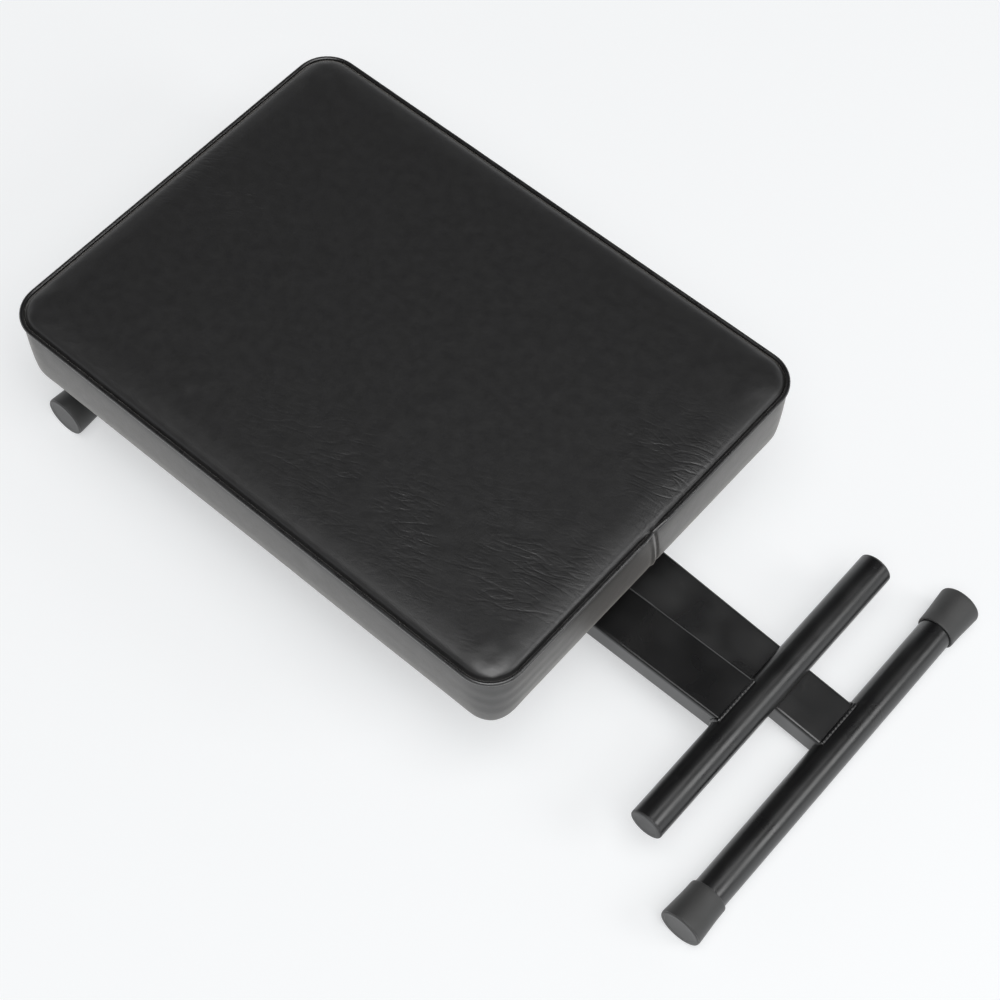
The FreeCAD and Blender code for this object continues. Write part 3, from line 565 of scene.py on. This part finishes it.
def cover_shape():
    """The cover's points and faces, and the points that stay put while it is puffed up."""
    half_x, half_y = HALF_LENGTH - SHEET_INSET, HALF_WIDTH - SHEET_INSET
    core_x, core_y = HALF_LENGTH - CORNER, HALF_WIDTH - CORNER
    xs, ys = ticks(half_x), ticks(half_y)
    insets, heights = zip(*[(a * MM, b * MM) for a, b in CROWN])
    verts = []
    for y in ys:
        for x in xs:
            px, py = rounded(x, y, half_x, half_y, CORNER)
            depth = max(inset(px, py) - SHEET_INSET, 0)
            verts.append((px, py, SEAM_HEIGHT + float(np.interp(depth, insets, heights))))
    faces = grid_faces(0, len(xs) - 1, len(ys) - 1)
    edge = grid_rim(len(xs) - 1, len(ys) - 1)
    held = list(edge)
    spokes = []
    for index in edge:
        x, y, z = verts[index]
        core = Vector((max(-core_x, min(core_x, x)), max(-core_y, min(core_y, y))))
        away = (Vector((x, y)) - core).normalized()
        spokes.append((core, away, corner_flare(away.x, away.y)))
    before = edge
    for level, (height, out) in enumerate(SIDE):
        ring = []
        depth = min(1.0, (SEAM_HEIGHT / MM - height) / FLARE_DROP)
        for core, away, flare in spokes:
            spot = core + away * (CORNER + out * MM + flare * depth)
            ring.append(len(verts))
            verts.append((spot.x, spot.y, height * MM))
        for step in range(len(edge)):
            after = (step + 1) % len(edge)
            faces.append((before[step], ring[step], ring[after], before[after]))
        if level < HELD_RINGS or height < HEM_HEIGHT:
            held += ring
        before = ring
    return verts, faces, held


def puff_up(thing, held):
    """Puffs the cover up under pressure with its seams held, then limits how far it moved."""
    group = thing.vertex_groups.new(name="held")
    group.add(held, 1.0, "REPLACE")
    start = [v.co.copy() for v in thing.data.vertices]
    cloth = thing.modifiers.new("puff", "CLOTH")
    for key, content in PUFF_SETTINGS.items():
        setattr(cloth.settings, key, content)
    cloth.settings.effector_weights.gravity = 0.0
    cloth.collision_settings.use_collision = False
    cloth.collision_settings.use_self_collision = False
    for step in range(1, PUFF_FRAMES + 1):
        scene.frame_set(step)
    graph = bpy.context.evaluated_depsgraph_get()
    puffed = thing.evaluated_get(graph).to_mesh()
    for index, vertex in enumerate(thing.data.vertices):
        shift = puffed.vertices[index].co - start[index]
        if shift.length > 0:
            shift *= PUFF_CAP * math.tanh(shift.length / PUFF_CAP) / shift.length
        vertex.co = start[index] + shift
    thing.evaluated_get(graph).to_mesh_clear()
    thing.modifiers.remove(cloth)
    scene.frame_set(1)
    thing.vertex_groups.clear()


def subdivided(mesh, levels):
    """A mesh with a subdivision applied."""
    thing = bpy.data.objects.new("settle", mesh)
    scene.collection.objects.link(thing)
    divide = thing.modifiers.new("divide", "SUBSURF")
    divide.levels = divide.render_levels = levels
    divide.boundary_smooth = "PRESERVE_CORNERS"
    graph = bpy.context.evaluated_depsgraph_get()
    done = bpy.data.meshes.new_from_object(thing.evaluated_get(graph))
    bpy.data.objects.remove(thing)
    return done


# The cover's relief: broad hollows, slanting folds in patches, a pinch at each corner of the
# top, and ripples down the band's corners. Depths and reaches in metres, waves per metre.
HOLLOW_DEPTH, HOLLOW_WAVES = 0.25 * MM, 9
FOLD_DEPTH, FOLD_WAVES_X, FOLD_WAVES_Y, FOLD_WAVES_Z = 0.32 * MM, (40, 26), (-54, 62), 60
FOLD_PATCH_WAVES, FOLD_PATCH_SHARE = 16, 0.15
PINCH_REACH, NEAR_PINCH_DEPTH, OTHER_PINCH_DEPTH = 2.6 * MM, 0.8 * MM, 0.4 * MM
RIPPLE_DEPTH, RIPPLE_PITCH, RIPPLE_REACH = 0.17 * MM, 12.5 * MM, 42 * MM
RIPPLE_BEND, RIPPLE_BEND_WAVES, RIPPLE_OTHER_SHARE = 2.5, 22, 0.3
RIPPLE_PATCH_SHARE, RIPPLE_PATCH_WAVES, RIPPLE_PATCH_WAVES_Z = 0.6, 14, 30
# How far inside the seam the relief reaches its full depth.
SEAM_CALM = 6 * MM

# The band's join at the right end: where it meets the seam, how it leans, and how far it
# reaches. Its profile is a groove, a fold and a slight crease, each with its depth, its place
# beside the join, how it leans more, and its width, lengths in mm.
JOIN_TOP_Y, JOIN_LEAN, JOIN_TOP_HEIGHT, JOIN_REACH = -0.7 * MM, 0.157, 54 * MM, 14 * MM
JOIN_END_ZONE = 5 * MM
JOIN_PROFILE = ((-1.1, 0.0, 0.0, 1.0), (0.8, -3.0, 0.0, 1.9), (-0.3, -7.5, 0.1, 1.6))


def relief(x, y, z):
    """Slight hollows and folds of the cover, in metres along its normal."""
    broad = wave(x * HOLLOW_WAVES, y * HOLLOW_WAVES, z * HOLLOW_WAVES)
    fold_x = x * FOLD_WAVES_X[0] + y * FOLD_WAVES_X[1]
    fold_y = y * FOLD_WAVES_Y[1] + x * FOLD_WAVES_Y[0]
    folds = noise.noise(Vector((fold_x, fold_y, z * FOLD_WAVES_Z)) + Vector((3, 1, 7)))
    patch = max(0.0, wave(x * FOLD_PATCH_WAVES, y * FOLD_PATCH_WAVES, 5.0) + FOLD_PATCH_SHARE)
    depth = HOLLOW_DEPTH * broad + FOLD_DEPTH * folds * patch
    outward = Vector((math.copysign(1, x), math.copysign(1, y)))
    corner = Vector((outward.x * (HALF_LENGTH - CORNER), outward.y * (HALF_WIDTH - CORNER)))
    if z > SEAM_HEIGHT:
        pinch = corner + outward * (CORNER - PINCH_REACH) / math.sqrt(2)
        most = NEAR_PINCH_DEPTH if at_near_corner(x, y) else OTHER_PINCH_DEPTH
        return depth - most * bell((Vector((x, y)) - pinch).length, PINCH_REACH)
    bend = RIPPLE_BEND * wave(x * RIPPLE_BEND_WAVES, y * RIPPLE_BEND_WAVES, 3.0)
    ripple = math.sin(2 * math.pi * z / RIPPLE_PITCH + bend)
    patch = RIPPLE_PATCH_SHARE + wave(x * RIPPLE_PATCH_WAVES, y * RIPPLE_PATCH_WAVES,
                                      z * RIPPLE_PATCH_WAVES_Z + 9.0)
    near = bell((Vector((x, y)) - corner).length, RIPPLE_REACH)
    share = 1.0 if at_near_corner(x, y) else RIPPLE_OTHER_SHARE
    return depth + RIPPLE_DEPTH * ripple * patch * near * share


def join_relief(x, y, z):
    """The join in the band at the right end, in metres along the cover's normal."""
    side = y - JOIN_TOP_Y - JOIN_LEAN * (JOIN_TOP_HEIGHT - z)
    if z >= SEAM_HEIGHT or x <= HALF_LENGTH - JOIN_END_ZONE or abs(side) >= JOIN_REACH:
        return 0.0
    return sum(depth * MM * bell(side - beside * MM - lean * z, width * MM)
               for depth, beside, lean, width in JOIN_PROFILE)


def cushion():
    """The padded seat, with its cover puffed up, subdivided and creased."""
    verts, faces, held = cover_shape()
    made = piece("seat_cushion", (verts, faces), "seat", "vinyl",
                 ("seat_foam", "seat_top_panel", "seat_side_band"))
    puff_up(made, held)
    mesh = subdivided(made.data, 2)
    mesh.name = "seat_cushion_mesh"
    made.data = mesh
    normals = [v.normal.copy() for v in mesh.vertices]
    for vertex, normal in zip(mesh.vertices, normals):
        x, y, z = vertex.co
        if z < FLAT_HEIGHT:
            continue
        calm = min(1.0, inset(x, y) / SEAM_CALM) if z > SEAM_HEIGHT else 1.0
        depth = relief(x, y, z) + join_relief(x, y, z)
        vertex.co = vertex.co + normal * depth * max(calm, 0.0)
    mesh.transform(SEAT)
    mesh.polygons.foreach_set("use_smooth", [True] * len(mesh.polygons))


cushion()


# The piping lies in the seam, and its ends cross and dive into it at the band's join.
# Its tube waves in height, is crimped by a share of its radius, and drifts off the seam line.
PIPING_OUT, PIPING_HEIGHT, PIPING_RADIUS = 2.35 * MM, 55.6 * MM, 1.65 * MM
PIPING_DRIFT = Vector((0.4, -0.6, 0.0)) * MM
PIPING_STEP, PIPING_WAVE, PIPING_WAVES = 3 * MM, 0.08 * MM, 30
PIPING_CRIMP, PIPING_CRIMP_WAVES = 0.04, 0.21
DIVE_POINTS, DIVE_DROP, DIVE_IN = 4, 0.55 * MM, 0.35 * MM
END_CROSSING, END_DROP = 2.5 * MM, 0.4 * MM
BEND_STEPS = 12


def around_seat(out, step, start):
    """Places round the seat at a distance outside the seam, from a place at the right end."""
    straight_x, straight_y = HALF_LENGTH - CORNER, HALF_WIDTH - CORNER
    radius = CORNER + out
    route = []

    def run(x0, y0, x1, y1):
        count = max(1, round(math.hypot(x1 - x0, y1 - y0) / step))
        route.extend((x0 + (x1 - x0) * i / count, y0 + (y1 - y0) * i / count)
                     for i in range(count))

    def bend(x, y, angle):
        for i in range(BEND_STEPS):
            turn = math.radians(angle + 90 * i / BEND_STEPS)
            route.append((x + radius * math.cos(turn), y + radius * math.sin(turn)))

    run(straight_x + radius, start, straight_x + radius, straight_y)
    bend(straight_x, straight_y, 0)
    run(straight_x, straight_y + radius, -straight_x, straight_y + radius)
    bend(-straight_x, straight_y, 90)
    run(-straight_x - radius, straight_y, -straight_x - radius, -straight_y)
    bend(-straight_x, -straight_y, 180)
    run(-straight_x, -straight_y - radius, straight_x, -straight_y - radius)
    bend(straight_x, -straight_y, 270)
    run(straight_x + radius, -straight_y, straight_x + radius, start)
    route.append((straight_x + radius, start))
    return route


def piping():
    """The covered cord that is sewn into the seam."""
    route = around_seat(PIPING_OUT, PIPING_STEP, JOIN_TOP_Y)
    count = len(route)
    points = []
    for index, (x, y) in enumerate(route):
        height = PIPING_HEIGHT + PIPING_WAVE * wave(x * PIPING_WAVES, y * PIPING_WAVES, 2.0)
        dive = max(0, DIVE_POINTS - min(index, count - 1 - index))
        height -= dive * DIVE_DROP
        x -= dive * DIVE_IN
        points.append(Vector((x, y, height)) + PIPING_DRIFT)
    points[0] = points[0] + Vector((0, -END_CROSSING, 0))
    points[-1] = points[-1] + Vector((0, END_CROSSING, -END_DROP))

    def crimped(index):
        return PIPING_RADIUS * (1 + PIPING_CRIMP * wave(index * PIPING_CRIMP_WAVES, 0, 0))

    piece("seat_piping_cord", sweep(points, crimped, sides=14), "seat", "piping_vinyl",
          ("seat_piping",), SEAT)


piping()


# The dust cloth under the seat: its upper and lower face, how it sags between what holds it,
# and how it fans out between the staples. Depths and reaches in metres, waves per metre.
DUST_COLUMNS, DUST_ROWS = 140, 100
DUST_UPPER, DUST_LOWER = 0.5 * MM, 0.04 * MM
SAG_SLOPE, SAG_ACROSS, SAG_ALONG = 0.016, 1.1 * MM, 9 * MM
FAN_DEPTH, FAN_REACH, FAN_START, FAN_ZONE = 0.22 * MM, 14 * MM, 5 * MM, 40 * MM
BATTEN_MARGIN = 2 * MM
WRINKLE_SHARE, WRINKLE_WAVES = 0.3, 30


def held_sag(at, lines, most):
    """How far cloth hangs between the two lines that hold it, with the most that it may."""
    for first, last in zip(lines, lines[1:]):
        if first <= at <= last:
            share = (at - first) / (last - first)
            return 4 * share * (1 - share) * min(most, SAG_SLOPE * (last - first))
    return 0.0


def dust_sag(x, y):
    """How far the dust cloth hangs: pressed by the battens, fanned out between the staples."""
    line_x, line_y = HALF_LENGTH - STAPLE_INSET, HALF_WIDTH - STAPLE_INSET
    if BATTEN_INNER - BATTEN_MARGIN < abs(y) < BATTEN_OUTER + BATTEN_MARGIN:
        return 0.0
    across = [-line_y, -BATTEN_OUTER, -BATTEN_INNER, BATTEN_INNER, BATTEN_OUTER, line_y]
    fall = min(held_sag(y, across, SAG_ACROSS), held_sag(x, [-line_x, line_x], SAG_ALONG))
    edge = min(line_x - abs(x), line_y - abs(y))
    if 0 < edge < FAN_ZONE:
        along = y if line_x - abs(x) < line_y - abs(y) else x
        fan = 1 - math.cos(2 * math.pi * along / STAPLE_PITCH)
        fall += FAN_DEPTH * fan * math.exp(-edge / FAN_REACH) * min(1.0, edge / FAN_START)
    return fall * (1 + WRINKLE_SHARE * wave(x * WRINKLE_WAVES, y * WRINKLE_WAVES, 1.5))


def dust_cover():
    """The black cloth under the seat, as a thin closed sheet: its lower face, then its upper."""
    half_x, half_y = HALF_LENGTH - DUST_INSET, HALF_WIDTH - DUST_INSET
    corner = CORNER - DUST_INSET
    verts = []
    for height in (DUST_LOWER, DUST_UPPER):
        for row in range(DUST_ROWS + 1):
            for column in range(DUST_COLUMNS + 1):
                x, y = rounded(half_x * (2 * column / DUST_COLUMNS - 1),
                               half_y * (2 * row / DUST_ROWS - 1), half_x, half_y, corner)
                verts.append((x, y, -dust_sag(x, y) + height))
    upper = len(verts) // 2
    faces = grid_faces(0, DUST_COLUMNS, DUST_ROWS) + grid_faces(upper, DUST_COLUMNS, DUST_ROWS)
    rim = grid_rim(DUST_COLUMNS, DUST_ROWS)
    for low, after in zip(rim, rim[1:] + rim[:1]):
        faces.append((low, after, after + upper, low + upper))
    made = piece("dust_cloth", (verts, faces), "seat", "dust_cloth", ("dust_cover",), SEAT)


dust_cover()


# The lock's spring. Its end turns lie closed. Its wire starts a little inside the room that it
# has, and the closed ends and the wire itself take a part of that room.
SPRING_TURNS, SPRING_TURN_POINTS = 8, 24
SPRING_INSET, SPRING_ENDS = 0.55 * SPRING_WIRE, 3.1 * SPRING_WIRE


def lock_spring():
    """The coil that pushes the locking pin in."""
    points = []
    for index in range(SPRING_TURNS * SPRING_TURN_POINTS + 1):
        turn = index / SPRING_TURN_POINTS
        body = min(max((turn - 1) / (SPRING_TURNS - 2), 0.0), 1.0)
        closed = min(turn, 1.0) + max(turn - SPRING_TURNS + 1, 0.0)
        rise = SPRING_WIRE * closed + body * (SPRING_LENGTH - SPRING_ENDS)
        angle = 2 * math.pi * turn
        points.append((SPRING_X + SPRING_RADIUS * math.cos(angle),
                       SPRING_START + SPRING_INSET + rise,
                       SPRING_Z + SPRING_RADIUS * math.sin(angle)))
    coil = piece("lock_spring_coil", sweep(points, lambda index: SPRING_WIRE / 2, sides=10),
                 "leg_a", "zinc_steel", ("lock_spring",))
    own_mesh(coil)


lock_spring()


# Rubber caps and plastic plugs. Each is turned about Y and opens towards the bench's middle.
# Their profiles in mm: radius, place along the bar, and the size of the corner's round.
CAP_INSIDE = ((0.0, 27.9), (12.6, 27.9), (12.72, 27.5), (12.72, 0.5))
CAP_OUTSIDE = (
    (12.72, 0.5), (13.2, 0.0, 0.3), (14.35, 0.0, 0.6), (14.5, 2.2, 0.8), (14.6, 9.0, 3.0),
    (15.5, 22.0, 4.0), (15.98, 29.4, 0.9), (15.4, 31.0, 0.9), (13.2, 31.0, 0.6),
    (12.2, 30.6, 0.6), (0.0, 30.55),
)
PLUG_STEM = (
    (0.0, -0.02), (8.2, -0.02), (8.2, -13.0), (9.6, -13.0),
    (9.6, -10.55), (11.15, -10.45), (11.15, -9.05), (9.6, -8.95),
    (9.6, -7.3), (11.15, -7.2), (11.15, -5.8), (9.6, -5.7),
    (9.6, -4.05), (11.15, -3.95), (11.15, -2.55), (9.6, -2.45), (9.6, 0.0),
)
PLUG_FACE = (
    (9.6, 0.0), (12.62, 0.0, 0.15), (12.62, 1.0, 0.4), (11.9, 1.6, 0.5), (9.0, 1.58, 0.3),
    (8.4, 1.42, 0.3), (0.0, 1.36),
)


def in_metres(profile):
    return [tuple(number * MM for number in corner) for corner in profile]


def end_profile(plain, outer):
    """A whole profile in metres, from a plain part and one whose corners are rounded."""
    return in_metres(plain) + eased(in_metres(outer))[1:]


def turned_end(name, profile, spot, start, side, body, slot):
    turn = Matrix.Translation((spot[0], side * start, spot[1]))
    if side < 0:
        turn = turn @ Matrix.Rotation(math.pi, 4, "Z")
    piece(name + "_moulding", lathe(profile), body, slot, (name,), turn)


def bar_middle(node):
    low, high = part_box(node)
    return (low.x + high.x) / 2, (low.z + high.z) / 2


def bar_ends():
    """Caps on the foot bars and plugs in the top bars, at both ends of each."""
    cap, plug = end_profile(CAP_INSIDE, CAP_OUTSIDE), end_profile(PLUG_STEM, PLUG_FACE)
    for letter in "ab":
        foot, top = bar_middle("foot_bar_" + letter), bar_middle("top_bar_" + letter)
        for word, side in (("near", -1), ("far", 1)):
            turned_end("foot_cap_%s_%s" % (letter, word), cap, foot, CAP_START, side,
                       "leg_" + letter, "rubber")
            turned_end("end_plug_%s_%s" % (letter, word), plug, top, PLUG_START, side,
                       "leg_" + letter, "black_plastic")


bar_ends()


# Weld beads where the arms meet the crossbars. Radius, ripple and drift are in mm, and the
# last five say how far a bead's line lies from the arm's and the crossbar's faces.
BEAD_RUN_STEPS, BEAD_SIDE_STEPS = 40, 28
BEAD_RADIUS, BEAD_RIPPLE, BEAD_DRIFT = 1.55, 0.3, 0.12
BEAD_RIPPLE_TURN, BEAD_DRIFT_WAVES, BEAD_SEED_WAVES = 1.9, 0.5, 90
BEAD_INSET, BEAD_SIDE_OUT, BEAD_TOE = 1.0 * MM, 0.2 * MM, 0.5 * MM
BEAD_FACE_OUT, BEAD_BAR_OUT = 0.1 * MM, 0.3 * MM


def bead(name, body, side, end, reach):
    """A rippled bead over an arm's top, down its outer side and back along its bottom."""
    half = ARM_DEPTH / 2
    inner, outer = side * (ARM_INNER + BEAD_INSET), side * (ARM_OUTER + BEAD_SIDE_OUT)
    toe = math.sqrt(TUBE_RADIUS ** 2 - half ** 2) + BEAD_TOE
    route = []
    for step in range(BEAD_RUN_STEPS + 1):
        across = inner + (outer - inner) * step / BEAD_RUN_STEPS
        route.append((toe, across, half + BEAD_FACE_OUT))
    for step in range(1, BEAD_SIDE_STEPS):
        up = half * (1 - 2 * step / BEAD_SIDE_STEPS)
        route.append((math.sqrt((TUBE_RADIUS + BEAD_BAR_OUT) ** 2 - up ** 2), outer, up))
    for step in range(BEAD_RUN_STEPS + 1):
        across = outer + (inner - outer) * step / BEAD_RUN_STEPS
        route.append((toe, across, -half - BEAD_FACE_OUT))
    points = [Vector((end * (reach - x), y, z)) for x, y, z in route]

    def girth(index):
        ripple = 0.5 + 0.5 * math.cos(index * BEAD_RIPPLE_TURN)
        drift = wave(index * BEAD_DRIFT_WAVES, reach * BEAD_SEED_WAVES, side)
        return (BEAD_RADIUS + BEAD_RIPPLE * ripple + BEAD_DRIFT * drift) * MM

    piece(name + "_bead", sweep(points, girth, sides=12), body, "black_paint", (name,),
          LEG[body])


bead("weld_top_a", "leg_a", 1, -1, TOP_REACH)
bead("weld_foot_a", "leg_a", 1, 1, FOOT_REACH)
bead("weld_top_b", "leg_b", -1, 1, TOP_REACH)
bead("weld_foot_b", "leg_b", -1, -1, FOOT_REACH)


# Floor, light and surroundings. The floor's glow is only what the camera and reflections see.
FLOOR_RADIUS, FLOOR_SIDES = 9.0, 96
FLOOR_COLOUR, FLOOR_GLOW_COLOUR, FLOOR_GLOW = (0.62, 0.63, 0.635), (0.98, 0.99, 1.0, 1.0), 0.48
# The surroundings' colour by height, from the horizon up.
SKY = (
    (0.05, (0.93, 0.945, 0.96, 1)),
    (0.30, (0.32, 0.325, 0.33, 1)),
    (0.62, (0.040, 0.040, 0.042, 1)),
)
# Each lamp's place and target, the width of its square, and its power in watts.
LAMPS = {
    "overhead": ((1.25, -1.1, 5.2), (0.0, 0.0, 0.0), 4.6, 212.0),
    "side": ((2.0, 0.75, 1.5), (0.25, 0.0, 0.0), 0.9, 8.5),
}


def pale_floor():
    bpy.ops.mesh.primitive_circle_add(vertices=FLOOR_SIDES, radius=FLOOR_RADIUS,
                                      fill_type="NGON", location=(0, 0, 0))
    floor = bpy.context.active_object
    floor.name = "floor"
    mat, shader = principled("pale_floor", FLOOR_COLOUR, 0.9)
    shader.inputs["Specular IOR Level"].default_value = 0.0
    path = add(mat, "ShaderNodeLightPath").outputs
    seen = maths(mat, "MAXIMUM", path["Is Camera Ray"], path["Is Glossy Ray"])
    seen = maths(mat, "MAXIMUM", seen, path["Is Transmission Ray"])
    shader.inputs["Emission Color"].default_value = FLOOR_GLOW_COLOUR
    join(mat, maths(mat, "MULTIPLY", seen, FLOOR_GLOW), shader, "Emission Strength")
    floor.data.materials.append(mat)


def surroundings():
    world = bpy.data.worlds.new("studio")
    scene.world = world
    world.use_nodes = True
    direction = add(world, "ShaderNodeTexCoord").outputs["Generated"]
    height = add(world, "ShaderNodeSeparateXYZ", {"Vector": direction}).outputs["Z"]
    ramp = add(world, "ShaderNodeValToRGB", {"Fac": height})
    stops = ramp.color_ramp.elements
    stops.new(0.5)
    for stop, (position, colour) in zip(stops, SKY):
        stop.position, stop.color = position, colour
    back = world.node_tree.nodes["Background"]
    world.node_tree.links.new(ramp.outputs["Color"], back.inputs["Color"])


def lamp(name, spot, target, size, power):
    light = bpy.data.lights.new(name, "AREA")
    light.shape = "SQUARE"
    light.size = size
    light.energy = power
    made = bpy.data.objects.new(name, light)
    scene.collection.objects.link(made)
    made.location = spot
    made.rotation_euler = (Vector(target) - Vector(spot)).to_track_quat("-Z", "Y").to_euler()


pale_floor()
surroundings()
for name, (spot, target, size, power) in LAMPS.items():
    lamp(name, spot, target, size, power)
